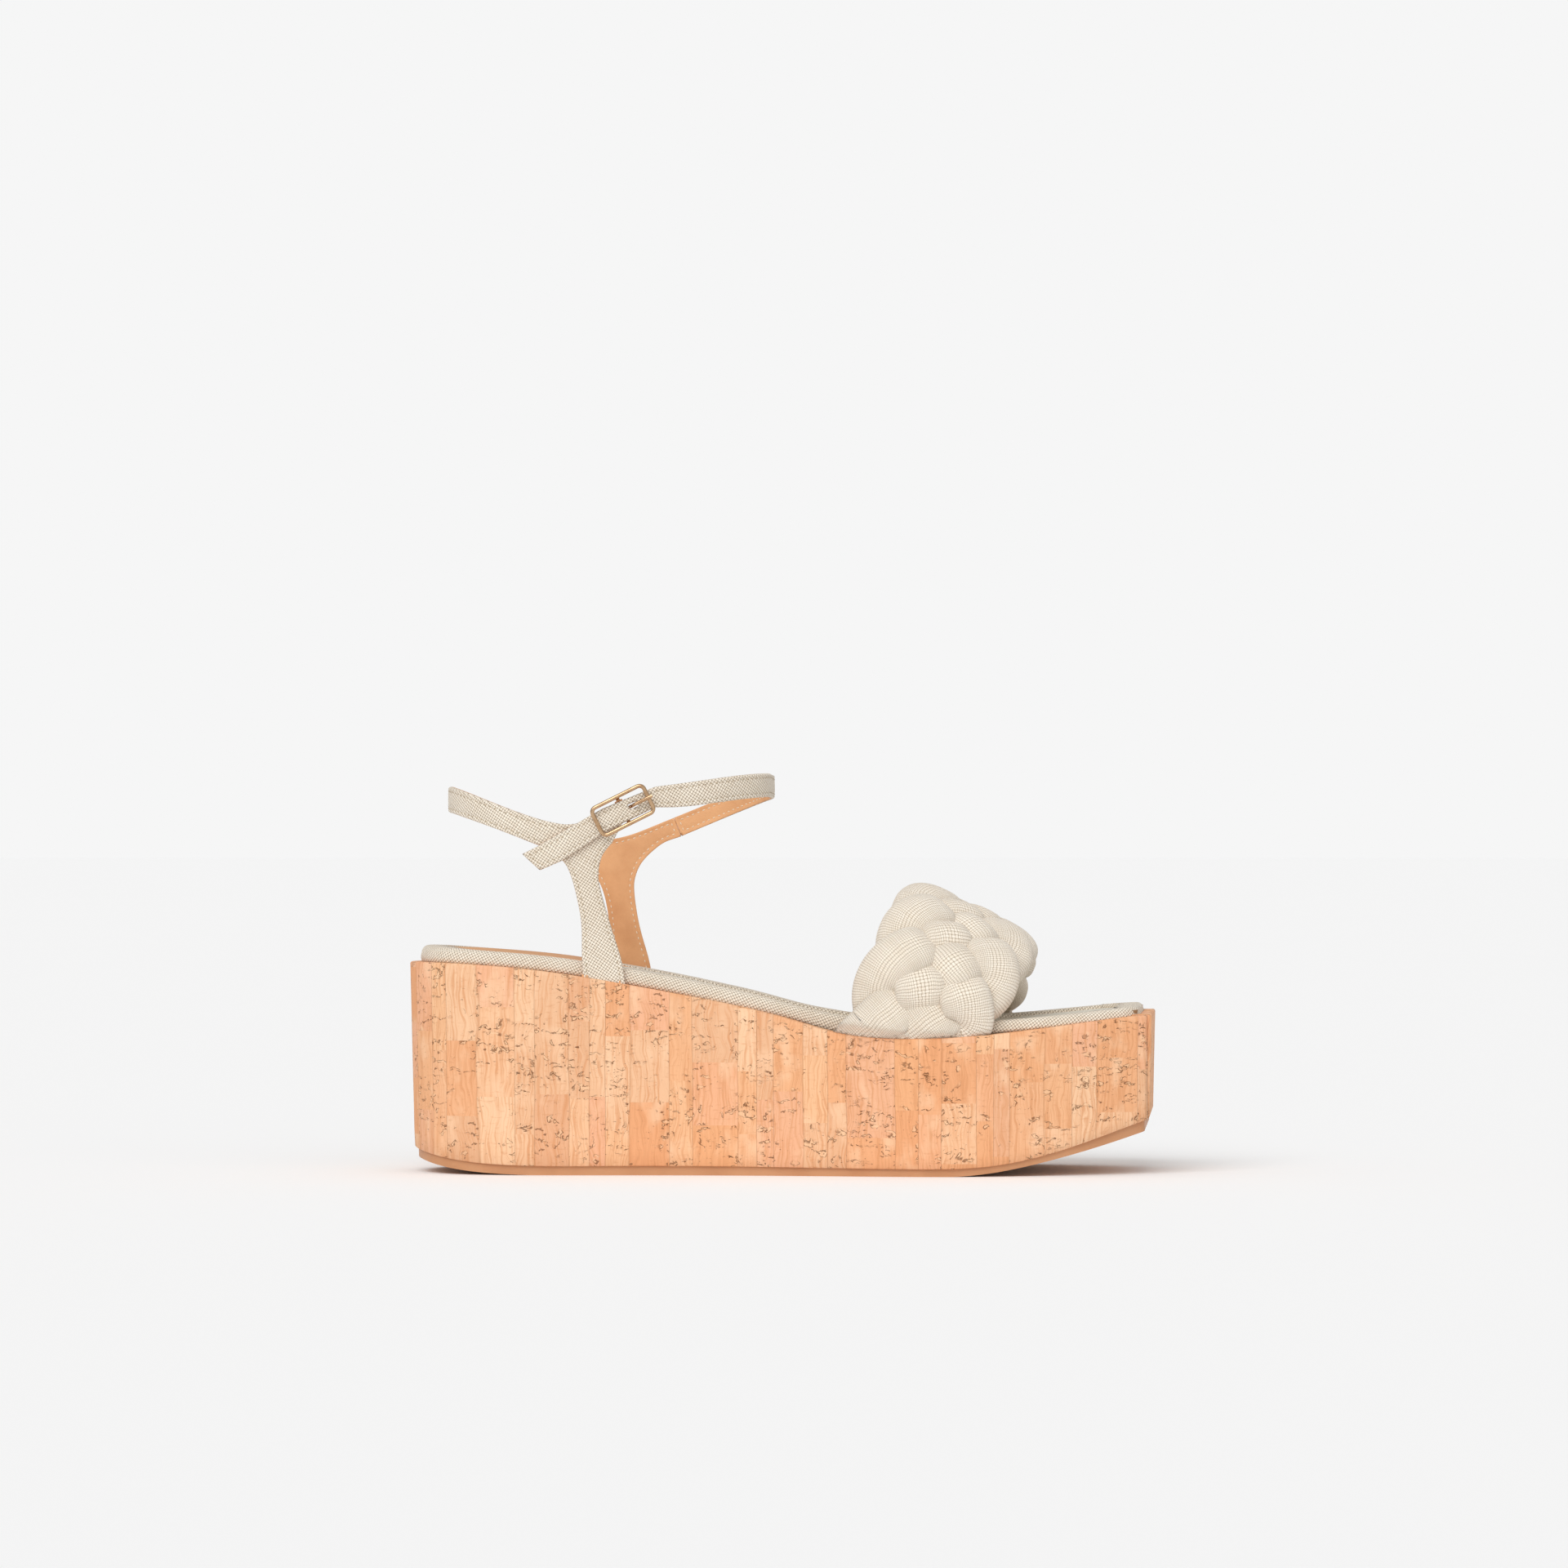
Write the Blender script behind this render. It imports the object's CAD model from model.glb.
import math

import bpy
import numpy as np
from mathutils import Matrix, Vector, geometry
from mathutils.bvhtree import BVHTree


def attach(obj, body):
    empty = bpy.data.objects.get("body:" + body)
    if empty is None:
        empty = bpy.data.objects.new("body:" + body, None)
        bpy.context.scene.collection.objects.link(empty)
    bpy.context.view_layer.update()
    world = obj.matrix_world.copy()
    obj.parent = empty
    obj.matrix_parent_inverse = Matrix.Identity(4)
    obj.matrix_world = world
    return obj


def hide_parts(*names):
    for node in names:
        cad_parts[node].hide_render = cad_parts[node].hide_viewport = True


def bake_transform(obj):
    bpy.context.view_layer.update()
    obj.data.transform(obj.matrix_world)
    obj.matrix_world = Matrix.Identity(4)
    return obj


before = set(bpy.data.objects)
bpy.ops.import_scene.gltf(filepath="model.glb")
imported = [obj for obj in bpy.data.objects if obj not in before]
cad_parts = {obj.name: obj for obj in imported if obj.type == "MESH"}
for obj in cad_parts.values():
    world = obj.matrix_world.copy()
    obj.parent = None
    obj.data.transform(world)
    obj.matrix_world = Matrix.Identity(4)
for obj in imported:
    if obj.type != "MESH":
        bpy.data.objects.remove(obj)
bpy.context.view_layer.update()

# Wedge sandal: every visible piece is made round the CAD frame. Lengths in this script are in
# millimetres until a mesh is made, and the mesh is in metres.
MM = 0.001

# Collar ring in plan: its inner face, as in the frame
RING_HALF = 32.0
RING_FRONT_X, RING_FRONT_REACH = -42.0, 36.6
RING_BACK_X, RING_BACK_REACH = -78.0, 37.4
STRAP_PLAN = (
    (-5.4, 0), (-8.5, -12.9), (-16, -22.5), (-28, -29.6),
    (-46.7, -33.8), (-55.5, -34.4), (-64, -34), (-68, -34),
)
TAIL_FACE = -34.0

# Outlines of the collar in side view, as in the frame
OUTER_LEG_BACK = ((-69.6, 74.9), (-70.0, 87.6), (-73.1, 101.6), (-76.8, 108.2), (-84.3, 112.8))
OUTER_HEEL_LOW = ((-84.3, 112.8), (-100.2, 119.0), (-120.0, 126.0))
OUTER_HEEL_HIGH = (
    (-120, 134.6), (-111.3, 131.9), (-93.8, 125.1), (-83.6, 121.7), (-75.7, 120.1), (-70, 120.6),
)
OUTER_LEG_FRONT = ((-59.1, 114), (-62.6, 109.4), (-63.9, 103.9), (-63.4, 98.5), (-59.9, 86), (-56.4, 74.9))
OUTER_FOOT = ((-55.4, 70.5), (-54.4, 62.5), (-69.2, 64.5), (-69.5, 70.5))
INNER_LEG_BACK = ((-61.6, 73.5), (-62.3, 86.0), (-64.0, 95.5), (-67.0, 102.0), (-72.0, 107.0), (-80.0, 111.0))
INNER_HEEL_LOW = ((-80.0, 111.0), (-97.0, 118.0), (-120.0, 126.0))
INNER_HEEL_HIGH = ((-120, 134.6), (-97, 125.4), (-80, 119), (-66, 115.4), (-56, 116.2), (-39.4, 122.6))
INNER_LEG_FRONT = (
    (-36.8, 116.1), (-43.6, 113.4), (-50.1, 107.6), (-52.9, 102.0),
    (-53.3, 96.0), (-51.6, 85.0), (-48.4, 73.5),
)
INNER_FOOT = ((-47.6, 70.0), (-47.2, 61.5), (-62.2, 63.5), (-61.8, 70.0))
STRAP_INNER_HIGH = ((-39.35, 122.65), (-28.9, 126.9), (-14.0, 133.0), (-6.0, 136.8), (0.0, 138.2))
STRAP_INNER_LOW = ((0.0, 130.2), (-6.0, 128.8), (-17.2, 124.4), (-36.75, 116.15))
STRAP_OUTER_HIGH = ((0.0, 138.2), (-13.8, 137.2), (-33.6, 134.4), (-44.6, 132.9))
STRAP_OUTER_LOW = ((-44.6, 125.8), (-33.6, 126.2), (-13.8, 128.9), (0.0, 130.2))
TAIL_TIP = ((-83.9, 112.9), (-90.0, 109.9), (-83.9, 104.3), (-76.3, 107.6))
STRAP_TURN_HIGH = ((-6.0, 3.7), (-10.6, 3.5))
STRAP_TURN_LOW = ((-10.6, -4.1), (-6.0, -3.9))
TAB_HIGH, TAB_LOW = (-1.9, 3.4), (-1.9, -3.6)
HOLE_CORNERS = ((2.3, 0.9), (2.3, -0.9), (5.3, -0.9), (5.3, 0.9), (3.8, 0.95))

# Straps: rounding of the turned linen edges, and the stitches along them
EDGE_ROUND = 0.8
STITCH_INSET = 1.5
STITCH_PITCH = 2.1
STITCH_LENGTH = 1.4
STITCH_RADIUS = 0.17
STITCH_START = 0.3
STITCH_SIDES = 6
STITCH_DIP = (-0.35, 0.02, 0.09, 0.02, -0.35)
STITCH_SWELL = (0.55, 1.0, 1.1, 1.0, 0.55)
SHEET_ROWS = (0.1, 0.28, 0.55, 0.85, 1.15, 1.5, 1.85, 2.3)
SHEET_GRID = 1.3

# Roots of the two legs, where the collar folds
ROOT_OUTER = (-63.0, -32.8)
ROOT_INNER = (-55.0, 32.8)

# Buckle frame: u along the strap, v across it
BUCKLE_CENTRE = Vector((-55.5, -32.8, 124.8))
BUCKLE_TILT = math.radians(26.6)

# Braided vamp, an arch over the forefoot
ARCH_HALF = 42.6
ARCH_FOOT = (43.0, 50.2)
ARCH_SKEW = 12.0
ARCH_LEAN = 13.6
ARCH_RISE = 33.4
ARCH_PITCH = math.radians(25.0)
STRANDS = 5
LOBE_PITCH = 19.6
LOBE_START = 12.0
STRAND_TRAVEL = 17.6
STRAND_HALF_WIDTH = 8.8
STRAND_END = 0.3
STRAND_HALF_THICK = 5.5
STRAND_RISE = 4.0
STRAND_SQUARE = 0.72
STRAND_SIDES = 40
FOOT_SQUEEZE = 0.42
SQUEEZE_SPAN = 0.55
FOOT_NARROW = 0.97
PLUMP = 0.04
GATHER = 0.16

# Feet of the strands: how far inside the cork's face, and how they widen above its top
TUCK_DEPTH = 2.4
TUCK_BELOW_TOP = 0.2
TUCK_SLOPE = 1.5

# Weave pitch of the linen
THREAD = 0.62
STRAP_THREAD = 0.92

# Outlines of the sole: half widths in plan, and the heights of the cork's top and of the footbed's rim
OUTER_SIDE = ((-118, 26), (-98, 33.6), (-62, 35.2), (-20, 36.4), (20, 42), (55, 46), (90, 41.5))
INNER_SIDE = ((-118, 26), (-98, 33.6), (-62, 35), (-20, 34), (15, 37.5), (50, 44.5), (90, 43))
WEDGE_TOP = (
    (-135, 72.6), (-112, 72.3), (-78, 69.2), (-40, 62.7), (0, 53.9),
    (18, 48.9), (42, 47), (80, 49.5), (135, 55.7),
)
RIM_TOP = (
    (-135, 78.6), (-112, 77.2), (-70, 73.2), (-17, 62.7), (12, 55.4), (42, 51.6), (80, 53), (135, 58.4),
)

# Rays that find the outline: where the two fans centre, their reach, and how far off a wall is about
TOE_FAN_X, HEEL_FAN_X = 84.0, -92.0
RAY_REACH = 80.0
SIDE_GUESS = 35.0
WALL_MIDDLE = 36.0
WALL_SEARCH = 45.0

# Cork sheets: thickness, edge rounding and turned-in margin
CORK_THICK, CORK_BEND, CORK_INSET = 1.2, 0.75, 6.0
CORK_GAP = 13.0
CORK_STATION, RIM_STATION = 1.6, 1.2

# Leather sock: how far inside the rim's edge, how thick, and how far its middle is dished
SOCK_INSET = 3.3
SOCK_THICK = 0.8
SOCK_DISH = 0.7
SOCK_PROUD, SOCK_SINK, SOCK_LIP = 0.45, 1.1, 0.35
SOCK_SLOPE = (-75, -35)

# Camera: level, square to the outer side, and the height of the picture's middle
CAMERA_DISTANCE = 2000.0
CAMERA_HEIGHT = 112.0
PICTURE_WIDTH = 532.8
PICTURE_CENTRE = (-0.5, 133.7)
OUTER_PLANE = -45.0
SENSOR = 36.0

# Studio: fill light from all round, soft suns (direction, strength, softness), the floor's tone and reach
FILL_LIGHT = 0.47
SUNS = (
    ("key", (-0.45, -1.0, 1.0), 1.6, 45.0),
    ("front", (0.7, -1.0, 0.35), 0.35, 60.0),
    ("top", (0.1, 0.35, 1.0), 0.25, 60.0),
)
FLOOR_TONE = (0.985, 0.985, 0.985)
FLOOR_REACH = 60.0


# ---------------------------------------------------------------- materials

class Nodes:
    """A short way to write a material's node tree."""

    def __init__(self, name):
        self.material = bpy.data.materials.new(name)
        self.material.use_nodes = True
        self.tree = self.material.node_tree
        self.tree.nodes.clear()
        self.shader = self.add("ShaderNodeBsdfPrincipled")
        output = self.add("ShaderNodeOutputMaterial")
        self.link(self.shader.outputs[0], output.inputs["Surface"])

    def add(self, kind, **settings):
        node = self.tree.nodes.new(kind)
        for key, value in settings.items():
            setattr(node, key, value)
        return node

    def link(self, source, target):
        self.tree.links.new(source, target)

    def put(self, value, socket):
        """A number or colour is set on the socket, and a node's output is linked to it."""
        if isinstance(value, bpy.types.NodeSocket):
            self.link(value, socket)
        else:
            socket.default_value = value

    def math(self, operation, a, b=0.0):
        node = self.add("ShaderNodeMath", operation=operation)
        for value, socket in zip((a, b), node.inputs):
            self.put(value, socket)
        return node.outputs[0]

    def plus(self, a, b):
        return self.math("ADD", a, b)

    def minus(self, a, b):
        return self.math("SUBTRACT", a, b)

    def times(self, a, b):
        return self.math("MULTIPLY", a, b)

    def mix(self, factor, a, b):
        node = self.add("ShaderNodeMix", data_type="RGBA")
        self.put(factor, node.inputs["Factor"])
        for value, socket in ((a, node.inputs[6]), (b, node.inputs[7])):
            self.put(value if isinstance(value, bpy.types.NodeSocket) else (*value, 1), socket)
        return node.outputs[2]

    def ramp(self, value, low, high, smooth=True):
        node = self.add("ShaderNodeMapRange", interpolation_type="SMOOTHSTEP" if smooth else "LINEAR")
        self.put(value, node.inputs["Value"])
        node.inputs["From Min"].default_value = low
        node.inputs["From Max"].default_value = high
        return node.outputs[0]

    def noise(self, vector, scale, detail=2.0, rough=0.5, distortion=0.0):
        node = self.add("ShaderNodeTexNoise")
        self.link(vector, node.inputs["Vector"])
        node.inputs["Scale"].default_value = scale
        node.inputs["Detail"].default_value = detail
        node.inputs["Roughness"].default_value = rough
        node.inputs["Distortion"].default_value = distortion
        return node.outputs[0]

    def stretch(self, vector, x, y, z=1.0, turn=0.0):
        node = self.add("ShaderNodeMapping")
        self.link(vector, node.inputs["Vector"])
        node.inputs["Scale"].default_value = (x, y, z)
        node.inputs["Rotation"].default_value = (0, 0, turn)
        return node.outputs[0]

    def split(self, vector):
        node = self.add("ShaderNodeSeparateXYZ")
        self.link(vector, node.inputs[0])
        return node.outputs

    def join(self, x, y, z=0.0):
        node = self.add("ShaderNodeCombineXYZ")
        for value, socket in zip((x, y, z), node.inputs):
            self.put(value, socket)
        return node.outputs[0]

    def random(self, value):
        node = self.add("ShaderNodeTexWhiteNoise", noise_dimensions="1D")
        self.put(value, node.inputs["W"])
        return node.outputs[0]

    def object_mm(self):
        """The object's own coordinates, in millimetres."""
        return self.stretch(self.add("ShaderNodeTexCoord").outputs["Object"], 1000, 1000, 1000)

    def cloth_mm(self):
        """The cloth's own flat coordinates, in millimetres."""
        return self.add("ShaderNodeUVMap", uv_map="flat").outputs[0]

    def finish(self, colour, roughness, height=None, depth=0.1, **constants):
        """Sets colour, roughness and a bump with its depth in millimetres; constants set other sockets."""
        if not isinstance(colour, bpy.types.NodeSocket):
            colour = (*colour, 1)
        self.put(colour, self.shader.inputs["Base Color"])
        self.put(roughness, self.shader.inputs["Roughness"])
        if height is not None:
            bump = self.add("ShaderNodeBump")
            bump.inputs["Distance"].default_value = depth * MM
            bump.inputs["Strength"].default_value = 1.0
            self.link(height, bump.inputs["Height"])
            self.link(bump.outputs[0], self.shader.inputs["Normal"])
        for name, value in constants.items():
            self.shader.inputs[name.replace("_", " ")].default_value = value
        return self.material


def srgb(r, g, b):
    """A linear colour from screen values out of 255."""
    def linear(c):
        c /= 255
        return c / 12.92 if c <= 0.04045 else ((c + 0.055) / 1.055) ** 2.4
    return (linear(r), linear(g), linear(b))


def linen_material(name, thread, gap, dark, light, turn=0.0):
    """Plain-weave linen: crossing threads of uneven thickness and shade, on the cloth's flat coordinates."""
    n = Nodes(name)
    flat = n.stretch(n.cloth_mm(), 1 / thread, 1 / thread, 1, turn)
    wander = n.noise(n.stretch(flat, 0.11, 0.11), 1.0, 2.0)
    x, y, _ = n.split(flat)
    x = n.plus(x, n.times(wander, 1.1))
    y = n.plus(y, n.times(wander, -1.1))
    warp_across = n.math("ABSOLUTE", n.math("SINE", n.times(x, math.pi)))
    weft_across = n.math("ABSOLUTE", n.math("SINE", n.times(y, math.pi)))
    column, row = n.math("FLOOR", x), n.math("FLOOR", y)
    on_top = n.math("FLOORED_MODULO", n.plus(column, row), 2.0)
    warp = n.times(warp_across, n.plus(n.times(weft_across, 0.35), 0.65))
    weft = n.times(weft_across, n.plus(n.times(warp_across, 0.35), 0.65))
    both = n.plus(n.times(warp, n.minus(1.0, on_top)), n.times(weft, on_top))
    slub_x = n.random(n.times(column, 1.37))
    slub_y = n.random(n.plus(n.times(row, 1.91), 50.0))
    slub_mix = n.plus(n.times(slub_x, n.minus(1.0, on_top)), n.times(slub_y, on_top))
    streak = n.noise(n.stretch(flat, 0.9, 0.06), 1.0, 2.0)
    cross_streak = n.noise(n.stretch(flat, 0.06, 0.9), 1.0, 2.0)
    patch = n.noise(n.stretch(flat, 0.03, 0.03), 1.0, 3.0)
    bright = n.plus(n.times(slub_mix, 0.26), n.times(streak, 0.16))
    bright = n.plus(bright, n.times(cross_streak, 0.16))
    bright = n.plus(bright, n.times(patch, 0.5))
    yarn = n.mix(n.ramp(bright, 0.25, 0.85, False), dark, light)
    colour = n.mix(n.ramp(both, 0.02, 0.6), gap, yarn)
    fuzz = n.noise(n.stretch(flat, 3.1, 3.1), 1.0, 3.0)
    height = n.plus(both, n.times(fuzz, 0.25))
    shine = {"Sheen_Weight": 0.25, "Sheen_Roughness": 0.55, "Specular_IOR_Level": 0.25}
    return n.finish(colour, 0.88, height, 0.16, **shine)


def cork_material(name):
    """Cork veneer: upright strips of blocks in changing tints, with grain lines, lenticels and lumps."""
    n = Nodes(name)
    around, z, _ = n.split(n.cloth_mm())
    wide = n.times(n.math("SINE", n.times(around, 0.23)), 2.3)
    wider = n.times(n.math("SINE", n.plus(n.times(around, 0.091), 1.0)), 2.8)
    edge_wave = n.times(n.noise(n.join(around, n.times(z, 0.12)), 0.3, 1.0), 1.2)
    strip = n.plus(n.plus(around, wide), n.plus(wider, edge_wave))
    strip = n.math("DIVIDE", strip, 9.3)
    index = n.math("FLOOR", strip)
    kind = n.random(n.plus(index, 87.7))
    tall = n.plus(n.times(n.random(n.plus(index, 31.9)), 26.0), 17.0)
    block = n.math("FLOOR", n.plus(n.math("DIVIDE", z, tall), n.times(kind, 7.0)))
    tint = n.random(n.plus(n.times(index, 13.73), n.times(block, 7.19)))
    other = n.random(n.plus(n.times(index, 5.31), n.times(block, 11.7)))
    seam = n.ramp(n.math("ABSOLUTE", n.minus(n.math("FRACT", strip), 0.5)), 0.475, 0.5)
    u = n.plus(around, n.times(tint, 300.0))
    v = n.plus(z, n.times(other, 170.0))
    at = n.join(u, v)
    ramp = n.add("ShaderNodeValToRGB")
    n.link(tint, ramp.inputs[0])
    tints = (
        (244, 194, 150), (236, 170, 122), (247, 203, 163), (230, 178, 138), (243, 184, 146), (238, 176, 126),
    )
    stops = ramp.color_ramp.elements
    stops[0].color, stops[1].color = (*srgb(*tints[0]), 1), (*srgb(*tints[-1]), 1)
    for k, shade in enumerate(tints[1:-1], 1):
        stops.new(k / (len(tints) - 1)).color = (*srgb(*shade), 1)
    bend = n.noise(n.stretch(at, 0.12, 0.06), 1.0, 2.0)
    bent = n.join(n.plus(u, n.times(bend, 7.0)), v)
    grain = n.noise(n.stretch(bent, 1.25, 0.035), 1.0, 3.0, 0.65)
    ripple = n.noise(n.stretch(bent, 0.35, 0.9), 1.0, 2.0)
    cloud = n.noise(n.stretch(at, 0.11, 0.06), 1.0, 3.0)
    colour = n.mix(n.times(n.ramp(grain, 0.42, 0.68), 0.75), ramp.outputs[0], srgb(218, 152, 104))
    colour = n.mix(n.times(n.ramp(cloud, 0.5, 0.72), 0.6), colour, srgb(250, 208, 170))
    colour = n.mix(n.times(n.ramp(ripple, 0.56, 0.74), 0.35), colour, srgb(212, 146, 100))
    # Lenticels: short dark dashes lying across the strip, in rows
    jitter = n.noise(n.stretch(at, 0.4, 0.4), 1.0, 2.0)
    dash_at = n.join(u, n.plus(v, n.times(jitter, 3.4)))
    rows = n.noise(n.stretch(dash_at, 0.085, 0.62), 1.0, 2.0, 0.55)
    line = n.minus(1.0, n.ramp(n.math("ABSOLUTE", n.minus(rows, 0.61)), 0.006, 0.026))
    broken = n.ramp(n.noise(n.stretch(at, 0.85, 0.5), 1.0, 2.0), 0.44, 0.56)
    need = n.minus(0.62, n.times(kind, 0.16))
    where = n.ramp(n.minus(n.noise(n.stretch(at, 0.07, 0.09), 1.0, 2.0), need), -0.04, 0.03)
    dash = n.times(n.times(line, broken), where)
    # Lumps: pale islands with dark broken outlines, in patches
    lumps = n.noise(n.stretch(dash_at, 0.24, 0.42), 1.0, 2.0, 0.6, 0.6)
    rim = n.minus(1.0, n.ramp(n.math("ABSOLUTE", n.minus(lumps, 0.6)), 0.006, 0.03))
    patch = n.ramp(n.noise(n.stretch(at, 0.085, 0.05), 1.0, 3.0), 0.5, 0.56)
    rim = n.times(n.times(rim, patch), n.ramp(jitter, 0.36, 0.5))
    island = n.times(n.ramp(lumps, 0.6, 0.64), patch)
    specks = n.ramp(n.noise(n.stretch(at, 1.1, 1.9), 1.0, 2.0), 0.69, 0.74)
    specks = n.times(specks, n.ramp(n.noise(n.stretch(at, 0.1, 0.1), 1.0, 1.0), 0.42, 0.6))
    dark = n.math("MAXIMUM", n.math("MAXIMUM", dash, n.times(rim, 0.85)), n.times(specks, 0.8))
    colour = n.mix(n.times(island, 0.5), colour, srgb(248, 206, 164))
    colour = n.mix(n.times(dark, 0.86), colour, srgb(122, 74, 38))
    colour = n.mix(n.times(seam, 0.3), colour, srgb(186, 128, 84))
    height = n.minus(n.times(grain, 0.35), n.plus(dark, n.times(seam, 0.4)))
    return n.finish(colour, 0.74, height, 0.25, Specular_IOR_Level=0.3)


def leather_material(name, base, dark, roughness):
    """Smooth leather: fine pores, a soft mottle and a slight polish."""
    n = Nodes(name)
    at = n.object_mm()
    pores = n.add("ShaderNodeTexVoronoi", feature="F1")
    n.link(at, pores.inputs["Vector"])
    pores.inputs["Scale"].default_value = 1.9
    mottle = n.noise(at, 0.06, 4.0, 0.6)
    fine = n.noise(at, 1.1, 4.0, 0.6)
    colour = n.mix(n.ramp(mottle, 0.3, 0.75), base, dark)
    colour = n.mix(n.times(n.ramp(fine, 0.5, 0.8), 0.25), colour, dark)
    height = n.plus(n.times(pores.outputs[0], 0.7), n.times(fine, 0.5))
    rough = n.plus(n.times(fine, 0.16), roughness - 0.08)
    return n.finish(colour, rough, height, 0.05, Specular_IOR_Level=0.4)


def rubber_material():
    """Smooth moulded rubber with faint flow marks and scuffs."""
    n = Nodes("outsole_rubber")
    at = n.object_mm()
    cloud = n.noise(at, 0.05, 3.0)
    scuff = n.noise(n.stretch(at, 0.08, 0.3, 1.4), 1.0, 4.0, 0.65)
    colour = n.mix(n.ramp(cloud, 0.35, 0.7), srgb(206, 152, 110), srgb(196, 140, 98))
    colour = n.mix(n.times(n.ramp(scuff, 0.58, 0.74), 0.35), colour, srgb(228, 184, 146))
    rough = n.plus(n.times(scuff, 0.25), 0.34)
    return n.finish(colour, rough, n.noise(at, 0.9, 3.0), 0.04, Specular_IOR_Level=0.4)


def metal_material():
    """Satin champagne plating with fine brushing."""
    n = Nodes("buckle_plating")
    at = n.object_mm()
    brushed = n.noise(n.stretch(at, 0.5, 6.0, 6.0), 1.0, 3.0)
    wear = n.noise(at, 0.3, 3.0)
    colour = n.mix(n.ramp(wear, 0.35, 0.7), srgb(206, 172, 136), srgb(186, 150, 114))
    rough = n.plus(n.times(brushed, 0.14), 0.2)
    return n.finish(colour, rough, brushed, 0.012, Metallic=1.0)


def plain_material(name, base, dark, scale, roughness):
    """A mottled hidden material, such as foam, board or tape."""
    n = Nodes(name)
    at = n.object_mm()
    spots = n.noise(at, scale, 5.0, 0.65)
    colour = n.mix(n.ramp(spots, 0.35, 0.7), base, dark)
    return n.finish(colour, roughness, spots, 0.1)


def cloth_underside():
    """Linen seen from inside the vamp, woven on the object's own coordinates."""
    n = Nodes("linen_underside")
    x, y, z = n.split(n.object_mm())
    down = n.math("SINE", n.times(n.plus(z, n.times(y, 0.5)), math.pi / THREAD))
    along = n.math("SINE", n.times(x, math.pi / THREAD))
    both = n.times(n.math("ABSOLUTE", down), n.math("ABSOLUTE", along))
    cloud = n.noise(n.object_mm(), 0.2, 3.0)
    colour = n.mix(n.ramp(both, 0.0, 0.7), srgb(176, 160, 134), srgb(226, 212, 190))
    colour = n.mix(n.times(cloud, 0.4), colour, srgb(206, 190, 166))
    return n.finish(colour, 0.9, both, 0.12, Sheen_Weight=0.2)


def thread_material(name, dark, light):
    """Waxed sewing thread, twisted."""
    n = Nodes(name)
    twist = n.noise(n.stretch(n.object_mm(), 5.0, 5.0, 5.0), 1.0, 2.0)
    colour = n.mix(twist, dark, light)
    return n.finish(colour, 0.6, twist, 0.05, Sheen_Weight=0.15)


LINEN = linen_material("linen_weave", THREAD, srgb(172, 151, 122), srgb(238, 224, 205), srgb(255, 247, 234))
STRAP_LINEN = linen_material(
    "strap_linen_weave", STRAP_THREAD, srgb(122, 98, 68), srgb(232, 217, 196), srgb(255, 246, 230),
    math.radians(32)
)
CORK = cork_material("cork_sheet")
TAN = leather_material("tan_leather", srgb(232, 174, 120), srgb(214, 152, 100), 0.5)
LINING = leather_material("tan_lining", srgb(231, 176, 126), srgb(212, 154, 106), 0.55)
RUBBER = rubber_material()
METAL = metal_material()
THREAD_MAT = thread_material("lining_thread", srgb(228, 212, 184), srgb(248, 238, 218))
LINEN_THREAD = thread_material("linen_thread", srgb(168, 148, 120), srgb(204, 188, 162))
UNDERSIDE = cloth_underside()
FOAM = plain_material("footbed_foam_cells", srgb(232, 226, 212), srgb(206, 198, 182), 1.6, 0.9)
WEDGE_FOAM = plain_material("wedge_foam_cells", srgb(214, 196, 168), srgb(190, 170, 142), 0.9, 0.9)
BOARD = plain_material("fibre_board", srgb(176, 142, 104), srgb(140, 108, 76), 0.7, 0.85)
TAPE = plain_material("woven_tape", srgb(240, 238, 230), srgb(214, 210, 200), 2.5, 0.85)

CAD_MATERIALS = {
    "outsole": RUBBER, "wedge_core": WEDGE_FOAM, "lasting_filler": WEDGE_FOAM, "insole_board": BOARD,
    "footbed_foam": FOAM, "outer_quarter_tape": TAPE, "inner_quarter_tape": TAPE,
    "ankle_strap_tape": TAPE, "buckle_chape": LINING, "buckle_frame": METAL, "buckle_prong": METAL,
    "outer_quarter_margin": LINING, "inner_quarter_margin": LINING, "vamp_lining": UNDERSIDE,
}


def dress_frame():
    """Give every CAD node that stays its material."""
    for node, material in CAD_MATERIALS.items():
        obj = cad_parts[node]
        obj.data.materials.clear()
        obj.data.materials.append(material)


# ---------------------------------------------------------------- meshes

def add_object(name, data):
    obj = bpy.data.objects.new(name, data)
    bpy.context.scene.collection.objects.link(obj)
    return obj


def make_piece(name, points, faces, material, flat):
    """A mesh object from points in millimetres, with each point's place on the flat cloth."""
    mesh = bpy.data.meshes.new(name)
    corners = [tuple(c * MM for c in p) for p in points]
    mesh.from_pydata(corners, [], [tuple(int(i) for i in f) for f in faces])
    mesh.validate()
    layer = mesh.uv_layers.new(name="flat")
    index = np.empty(len(mesh.loops), int)
    mesh.loops.foreach_get("vertex_index", index)
    layer.data.foreach_set("uv", np.asarray(flat, float)[index].ravel())
    mesh.materials.append(material)
    mesh.polygons.foreach_set("use_smooth", [True] * len(mesh.polygons))
    return add_object(name, mesh)


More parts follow.
